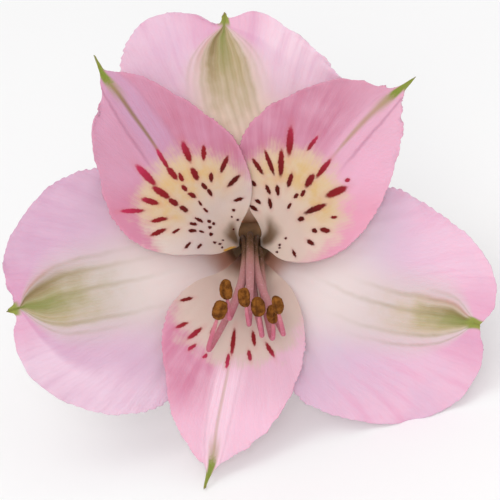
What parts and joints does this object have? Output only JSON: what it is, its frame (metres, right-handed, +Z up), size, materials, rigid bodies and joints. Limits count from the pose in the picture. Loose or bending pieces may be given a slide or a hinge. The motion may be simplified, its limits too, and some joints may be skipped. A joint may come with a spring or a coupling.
{
  "type": "alstroemeria bloom",
  "caption": "Open pink alstroemeria bloom with broad outer tepals, streaked inner tepals, curved stamens, ribbed ovary and short stalk, lying on its side.",
  "frame": {"origin": "centre of the base of the bounding box, on the surface the bloom lies on", "axes": "+Z up from the surface; +Y along the stalk, from the open face of the bloom to the cut end; +X to the right of someone who stands before the open face, at the -Y end, and looks along +Y"},
  "size_m": [0.07, 0.0896, 0.059],
  "materials": {
    "outer_tepal": "matte",
    "inner_tepal": "matte",
    "filament": "satin",
    "anther": "matte",
    "style": "satin",
    "stalk": "satin"
  },
  "bodies": {
    "root": {"outer_tepal_top": "outer_tepal", "outer_tepal_left": "outer_tepal", "outer_tepal_right": "outer_tepal", "inner_tepal_upper_left": "inner_tepal", "inner_tepal_upper_right": "inner_tepal", "inner_tepal_lower": "inner_tepal", "filament_1": "filament", "filament_2": "filament", "filament_3": "filament", "filament_4": "filament", "filament_5": "filament", "filament_6": "filament", "anther_1": "anther", "anther_2": "anther", "anther_3": "anther", "anther_4": "anther", "anther_5": "anther", "anther_6": "anther", "style": "style", "pedicel_and_ovary": "stalk"}
  },
  "joints": []
}
